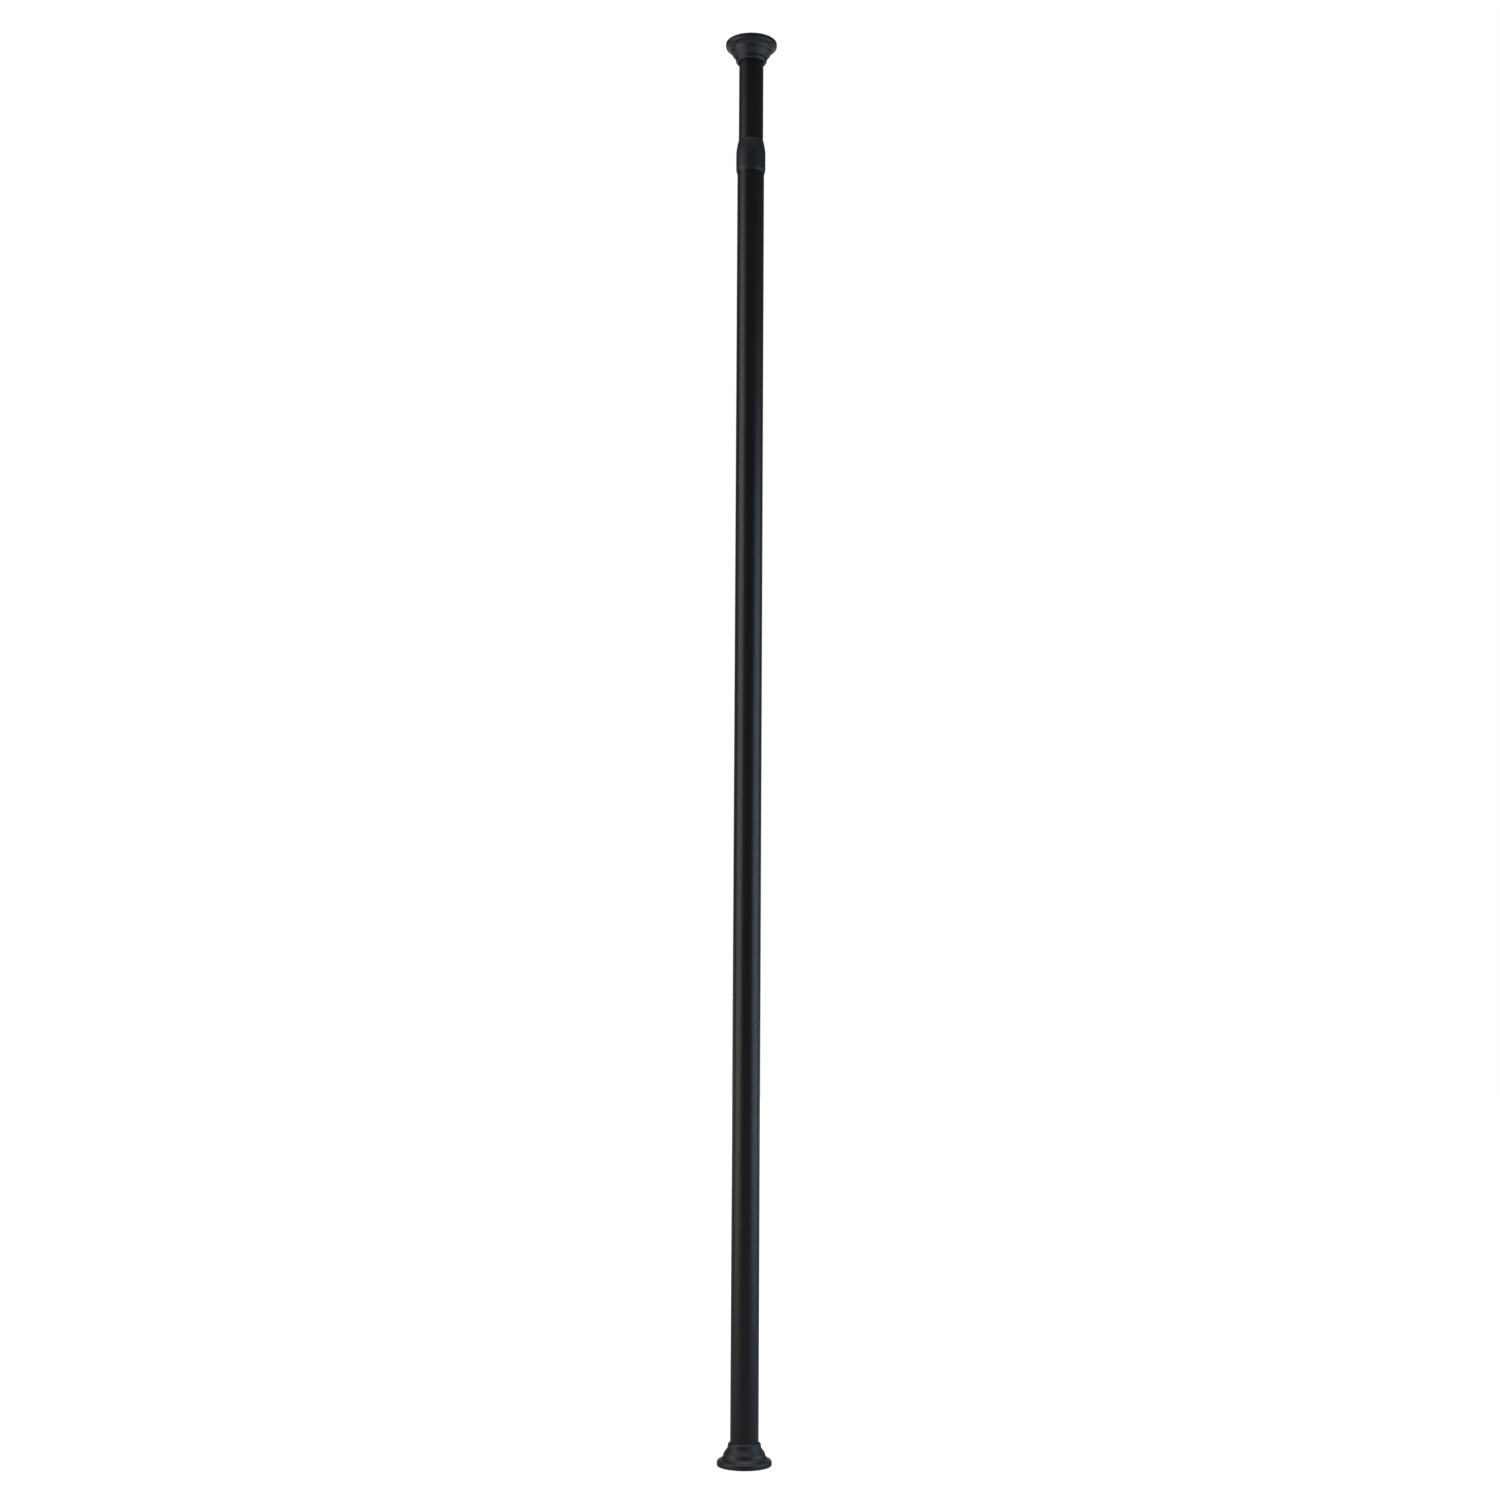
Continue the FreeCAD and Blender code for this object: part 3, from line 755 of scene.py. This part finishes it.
class ROD_OT_tubes(bpy.types.Operator):
    """Turn both tubes, with the beads rolled into the upper one"""
    bl_idname = "rod.tubes"
    bl_label = "Tubes"

    def execute(self, context):
        tubes = context.scene.rod_tubes
        outer = radius_of("outer_tube")
        low = low_end("outer_tube")
        high = high_end("outer_tube")
        lower = turned("lower_tube", [(outer - tubes.wall, low), (outer, low), (outer, high),
                                      (outer - tubes.wall, high)])
        ease_edges(lower, tubes.edge)
        stand_in(lower, "outer_tube")
        upper = turned("upper_tube", self.crimped(tubes))
        ease_edges(upper, tubes.edge)
        stand_in(upper, "inner_tube")
        return {"FINISHED"}

    def crimped(self, tubes):
        """Half-section of the upper tube."""
        outer = radius_of("inner_tube")
        bore = outer - tubes.wall
        low = low_end("inner_tube")
        high = high_end("inner_tube")
        half = tubes.crimp_width / 2
        outside = []
        inside = []
        for z in (low + tubes.crimp_inset, high - tubes.crimp_inset):
            outside += bow((outer, z - half), (outer, z + half), -tubes.crimp_depth, steps=12)
        for z in (high - tubes.crimp_inset, low + tubes.crimp_inset):
            inside += bow((bore, z + half), (bore, z - half), tubes.crimp_depth, steps=12)
        return [(bore, low), (outer, low), *outside, (outer, high), (bore, high), *inside]


class ROD_OT_collar(bpy.types.Operator):
    """Turn the collar that covers the joint of the tubes"""
    bl_idname = "rod.collar"
    bl_label = "Joint Collar"

    def execute(self, context):
        collar = context.scene.rod_collar
        low = low_end("joint_collar")
        top = high_end("joint_collar")
        tube = radius_of("outer_tube")
        bore = tube + collar.fit
        barrel = tube + collar.wall
        lower = (tube + collar.lip, low)
        taper = (barrel, low + collar.taper)
        groove = barrel - collar.groove
        groove_top = taper[1] + collar.groove_high
        crown = (barrel, top - collar.crown_high)
        steep = (barrel - collar.crown_in, top - collar.mouth_high)
        opening = radius_of("inner_tube") + collar.play
        mouth = (opening + collar.mouth_lip, top)
        stop = high_end("outer_tube")
        piece = turned("collar", [
            (bore, low), *back(swell(taper, lower)), (groove, taper[1]), (groove, groove_top),
            (barrel, groove_top), *bow(crown, steep, collar.crown_sag, steps=12),
            *bow(steep, mouth, collar.mouth_sag), (opening, top), (opening, stop), (bore, stop)])
        ease_edges(piece, collar.edge)
        stand_in(piece, "joint_collar")
        return {"FINISHED"}


class ROD_OT_caps(bpy.types.Operator):
    """Turn the covers of both end caps, with the ribs inside them"""
    bl_idname = "rod.caps"
    bl_label = "End Caps"

    def execute(self, context):
        caps = context.scene.rod_caps
        foot = cap_cover("foot_cap", radius_of("outer_tube"), caps.foot_fit)
        stand_in(foot, "foot_cover")
        head = cap_cover("head_cap", radius_of("inner_tube"), caps.head_fit)
        turn_over(head, high_end("head_pad"))
        stand_in(head, "head_cover")
        return {"FINISHED"}


class ROD_OT_pads(bpy.types.Operator):
    """Turn both rubber pads, with the rings in their faces"""
    bl_idname = "rod.pads"
    bl_label = "Rubber Pads"

    def execute(self, context):
        foot = rubber_pad("foot_rubber")
        stand_in(foot, "foot_pad")
        head = rubber_pad("head_rubber")
        turn_over(head, high_end("head_pad"))
        stand_in(head, "head_pad")
        return {"FINISHED"}


class ROD_OT_screw(bpy.types.Operator):
    """Turn the adjusting screw, cut its two-start thread and sink its socket and pin hole"""
    bl_idname = "rod.screw"
    bl_label = "Adjusting Screw"

    def execute(self, context):
        screw = context.scene.rod_screw
        low = low_end("adjusting_screw")
        high = high_end("adjusting_screw")
        head = radius_of("adjusting_screw")
        under_head = high - screw.head_high
        thread_low = low_end("tube_nut") - screw.lead / 2
        thread_high = low_end("stop_washer")
        core = screw.root - screw.crest_in
        taper = screw.shank - core
        piece = turned("threaded_screw", [
            (0.0, low), (screw.shank - screw.chamfer, low), (screw.shank, low + screw.chamfer),
            (screw.shank, thread_low), (core, thread_low + taper), (core, thread_high - taper),
            (screw.shank, thread_high), (screw.shank, under_head), (head, under_head),
            (head, high - screw.chamfer), (head - screw.chamfer, high), (0.0, high)])
        ease_edges(piece, screw.edge)
        pin = (low_end("cross_pin") + high_end("cross_pin")) / 2
        pin_hole = hole_bar(THREAD_STEPS, screw.pin_hole, reach=head, height=pin, turn=math.pi / 2)
        combine(piece, pin_hole, "DIFFERENCE")
        socket = hole_bar(sides=6, radius=screw.socket / 2, reach=screw.socket_deep, height=high)
        combine(piece, socket, "DIFFERENCE")
        thread = threaded("thread", crest_radius=screw.shank - screw.crest_in,
                          root_radius=screw.root, crest=screw.crest,
                          low=thread_low + taper / 2, high=thread_high - taper / 2)
        combine(piece, thread, "UNION")
        stand_in(piece, "adjusting_screw")
        return {"FINISHED"}


class ROD_OT_nut(bpy.types.Operator):
    """Turn the moulded nut, set its ribs and cut the thread that runs on the screw"""
    bl_idname = "rod.nut"
    bl_label = "Tube Nut"

    def execute(self, context):
        nut = context.scene.rod_nut
        screw = context.scene.rod_screw
        tubes = context.scene.rod_tubes
        low = low_end("tube_nut")
        top = high_end("tube_nut")
        seat = low_end("inner_tube")
        bore = screw.root + nut.play + nut.lip
        hub = screw.shank + nut.play + nut.wall
        flange = radius_of("inner_tube")
        tube_bore = flange - tubes.wall
        sleeve = tube_bore - nut.fit
        groove = tube_bore - tubes.crimp_depth - nut.groove_fit
        hollow = groove - nut.wall
        half = tubes.crimp_width / 2 + nut.groove_fit
        bead = seat + tubes.crimp_inset
        piece = turned("moulded_nut", [
            (bore, low), (flange, low), (flange, seat), (sleeve, seat), (sleeve, bead - half),
            (groove, bead - half), (groove, bead + half), (sleeve, bead + half), (sleeve, top),
            (hollow, top), (hollow, seat), (hub, seat), (hub, top), (bore, top)])
        ease_edges(piece, nut.edge)
        rib_near = (hub + bore) / 2
        rib_far = (groove + hollow) / 2
        for n in range(nut.ribs):
            combine(piece, self.rib(nut, rib_near, rib_far, seat, top, n), "UNION")
        cutter = threaded("cutter", crest_radius=screw.shank + nut.play,
                          root_radius=screw.root + nut.play, crest=screw.crest + 2 * nut.play,
                          low=low - screw.lead, high=top + screw.lead)
        combine(piece, cutter, "DIFFERENCE")
        stand_in(piece, "tube_nut")
        return {"FINISHED"}

    def rib(self, nut, near, far, seat, top, number):
        """One flat rib between hub and sleeve, sunk a little in the flange."""
        low = seat - nut.wall / 2
        high = top - nut.rib_wall
        bpy.ops.object.select_all(action="DESELECT")
        bpy.ops.mesh.primitive_cube_add(size=1.0, location=((near + far) / 2, 0, (low + high) / 2),
                                        scale=(far - near, nut.rib_wall, high - low))
        rib = bpy.context.object
        settle()
        rib.rotation_euler.z = math.tau * number / nut.ribs
        settle()
        return rib


class ROD_OT_spring(bpy.types.Operator):
    """Coil the spring, with a closed and ground turn at each end"""
    bl_idname = "rod.spring"
    bl_label = "Tension Spring"

    def execute(self, context):
        spring = context.scene.rod_spring
        low = high_end("lock_cam") + spring.fit
        high = low_end("plunger") - spring.fit
        points = self.route(spring, low, high)
        coil = start_mesh("coil_spring", points[0])
        draw(points)
        close_mesh()
        bpy.ops.object.convert(target="CURVE")
        coil.data.bevel_depth = spring.wire / 2
        coil.data.bevel_resolution = WIRE_SIDES // 2 - 2
        coil.data.use_fill_caps = True
        bpy.ops.object.convert(target="MESH")
        bpy.ops.object.mode_set(mode="EDIT")
        tidy_mesh()
        cut_level(low, upper=False)
        cut_level(high, upper=True)
        close_mesh()
        stand_in(coil, "tension_spring")
        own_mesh(coil)
        return {"FINISHED"}

    def route(self, spring, low, high):
        """Middle of the wire, turn by turn: an end turn rises by one wire, so that it is closed."""
        start = low + spring.ground
        end = high - spring.ground
        closed_rise = spring.wire + spring.fit
        open_rise = (end - start - 2 * closed_rise) / spring.turns
        turns = spring.turns + 2
        points = []
        for n in range(turns * THREAD_STEPS + 1):
            turn = n / THREAD_STEPS
            closed = min(turn, 1.0) + max(turn - turns + 1, 0.0)
            angle = math.tau * turn
            points.append(Vector((spring.radius * math.cos(angle), spring.radius * math.sin(angle),
                                  start + closed * closed_rise + (turn - closed) * open_rise)))
        return points


# Pieces that keep their solid's shape: the finished piece's name and the rounding of its corners
EASED_PIECES = {
    "lock_cam": ("lock_cam_turned", 0.25 * MM),
    "lock_shoe": ("split_shoe", 0.2 * MM),
    "spring_housing": ("housing_barrel", 0.2 * MM),
    "housing_pin": ("housing_dowel", 0.3 * MM),
    "housing_cap": ("housing_plug", 0.25 * MM),
    "plunger": ("spring_piston", 0.25 * MM),
    "cross_pin": ("cross_dowel", 0.3 * MM),
    "stop_washer": ("washer", 0.2 * MM),
    "glide_ring": ("guide_sleeve", 0.15 * MM),
    "foot_insert": ("foot_plug", 0.2 * MM),
    "head_insert": ("head_plug", 0.2 * MM),
}


class ROD_OT_inside(bpy.types.Operator):
    """Round the corners of the plainer pieces inside the rod"""
    bl_idname = "rod.inside"
    bl_label = "Inner Pieces"

    def execute(self, context):
        for node, (name, width) in EASED_PIECES.items():
            stand_in(eased_copy(node, name, width), node)
        return {"FINISHED"}


def white_where_seen(tree, behind, white, other):
    """White to the camera and to glass, to a gloss by the factor behind, the other to the rest."""
    rays = put(tree, "LightPath")
    gloss = put(tree, "Math", {"operation": "MULTIPLY"},
                links={0: rays.outputs["Is Glossy Ray"], 1: behind})
    clear = put(tree, "Math", {"operation": "MAXIMUM"},
                links={0: gloss.outputs[0], 1: rays.outputs["Is Transmission Ray"]})
    shown = put(tree, "Math", {"operation": "MAXIMUM"},
                links={0: clear.outputs[0], 1: rays.outputs["Is Camera Ray"]})
    seen = put(tree, "MixShader", links={0: shown.outputs[0], 1: other, 2: white})
    return seen.outputs[0]


class ROD_OT_stage(bpy.types.Operator):
    """Set up the floor, the lamps, the background and the camera"""
    bl_idname = "rod.stage"
    bl_label = "Stage"

    def execute(self, context):
        stage = context.scene.rod_stage
        self.floor()
        self.room(context, stage)
        self.lamp("left_softbox", place=(-1.25, -0.55, 0.78), target=(0, -0.55, 0.78),
                  across=(1.3, 1.65), watts=stage.left_power, hex_colour="FFFFFF")
        self.lamp("right_softbox", place=(1.2, -0.38, 0.5), target=(0, -0.38, 0.5),
                  across=(1.4, 1.2), watts=stage.right_power, hex_colour="DCEAFF")
        self.lamp("top_softbox", place=(0, -0.35, 8.0), target=(0, -0.35, 0),
                  across=(6.4, 4.3), watts=stage.top_power, hex_colour="FFFFFF")
        self.camera(context, stage)
        context.scene.view_settings.view_transform = "Standard"
        return {"FINISHED"}

    def floor(self):
        """White to the camera, by a glow over grey paint that keeps the shadow. Lengths in metres."""
        width = 12.0
        below = 0.1 * MM    # clear of the rubber that stands on it
        bpy.ops.object.select_all(action="DESELECT")
        bpy.ops.mesh.primitive_plane_add(size=width, location=(0, 0, -below))
        floor = bpy.context.object
        floor.name = "studio_floor"
        settle()
        material, tree, place = new_material("painted_floor")
        paint = put(tree, "BsdfDiffuse", values={"Color": [*linear("BEBEBE"), 1.0]}).outputs[0]
        # Far from the rod, where the lamps fade, the white comes from the glow alone
        away = put(tree, "VectorMath", {"operation": "LENGTH"}, links={0: place}).outputs["Value"]
        level = put(tree, "MapRange", links={"Value": away},
                    values={"From Min": 0.3, "From Max": 1.6, "To Min": 0.86, "To Max": 1.0})
        glow = put(tree, "Emission", links={"Strength": level.outputs["Result"]})
        lit = put(tree, "AddShader", links={0: glow.outputs[0], 1: paint}).outputs[0]
        # A gloss sees the white too, where the backdrop's foot starts behind the rod
        depth = put(tree, "SeparateXYZ", links={0: place}).outputs["Y"]
        behind = put(tree, "MapRange", links={"Value": depth},
                     values={"From Min": 1.2, "From Max": 2.4, "To Max": 0.7})
        seen = white_where_seen(tree, behind.outputs["Result"], white=lit, other=paint)
        put(tree, "OutputMaterial", links={"Surface": seen})
        floor.data.materials.append(material)

    def room(self, context, stage):
        """White where the camera or a gloss looks past the rod, a dim room for all other light."""
        world = bpy.data.worlds.new("studio")
        world.use_nodes = True
        context.scene.world = world
        tree = world.node_tree
        tree.nodes.clear()
        dim = put(tree, "Background", values={"Color": [1.0] * 4, "Strength": stage.room})
        white = put(tree, "Background", values={"Color": [1.0] * 4, "Strength": 1.0})
        # The backdrop stands behind the rod, where Y is high, so other glosses see the dim room
        ray = put(tree, "SeparateXYZ", links={0: put(tree, "TexCoord").outputs["Generated"]})
        behind = put(tree, "MapRange", values={"From Min": 0.85, "From Max": 1.0},
                     links={"Value": ray.outputs["Y"]})
        seen = white_where_seen(tree, behind.outputs["Result"], white=white.outputs[0],
                                other=dim.outputs[0])
        put(tree, "OutputWorld", links={"Surface": seen})

    def lamp(self, name, place, target, across, watts, hex_colour):
        """A soft rectangular lamp that faces a point in front of the rod. Lengths in metres."""
        aim = (Vector(target) - Vector(place)).to_track_quat("-Z", "Y").to_euler()
        bpy.ops.object.light_add(type="AREA", location=place, rotation=aim)
        lamp = bpy.context.object
        lamp.name = name
        lamp.data.shape = "RECTANGLE"
        lamp.data.size, lamp.data.size_y = across
        lamp.data.energy = watts
        lamp.data.color = linear(hex_colour)

    def camera(self, context, stage):
        """The photograph's lens and place: it looks up a little and leans to its left."""
        aim = (Matrix.Rotation(math.pi / 2 + stage.pitch, 3, "X")
               @ Matrix.Rotation(stage.roll, 3, "Z")).to_euler()
        bpy.ops.object.camera_add(location=(stage.offset, -stage.distance, stage.height),
                                  rotation=aim)
        camera = bpy.context.object
        camera.name = "photo_camera"
        camera.data.lens = stage.lens
        camera.data.sensor_width = stage.sensor
        camera.data.sensor_fit = "HORIZONTAL"
        context.scene.camera = camera


STEPS_IN_ORDER = (ROD_OT_tubes, ROD_OT_collar, ROD_OT_caps, ROD_OT_pads, ROD_OT_screw, ROD_OT_nut,
                  ROD_OT_spring, ROD_OT_inside, ROD_OT_stage)


class ROD_PT_panel(bpy.types.Panel):
    """Lists the steps that build the rod, and the sizes and colours that they read"""
    bl_label = "Tension Rod"
    bl_idname = "ROD_PT_panel"
    bl_space_type = "VIEW_3D"
    bl_region_type = "UI"
    bl_category = "Tension Rod"

    def draw(self, context):
        for step in STEPS_IN_ORDER:
            self.layout.operator(step.bl_idname)
        for name, group in GROUPS.items():
            box = self.layout.box()
            box.label(text=group.__doc__)
            for item in group.__annotations__:
                box.prop(getattr(context.scene, name), item)


CLASSES = (*GROUPS.values(), *STEPS_IN_ORDER, ROD_PT_panel)


def register():
    for item in CLASSES:
        bpy.utils.register_class(item)
    for name, group in GROUPS.items():
        setattr(bpy.types.Scene, name, PointerProperty(type=group))


def unregister():
    for name in GROUPS:
        delattr(bpy.types.Scene, name)
    for item in reversed(CLASSES):
        bpy.utils.unregister_class(item)


def main():
    register()
    bpy.ops.rod.tubes()
    bpy.ops.rod.collar()
    bpy.ops.rod.caps()
    bpy.ops.rod.pads()
    bpy.ops.rod.screw()
    bpy.ops.rod.nut()
    bpy.ops.rod.spring()
    bpy.ops.rod.inside()
    bpy.ops.rod.stage()


if __name__ == "__main__":
    main()
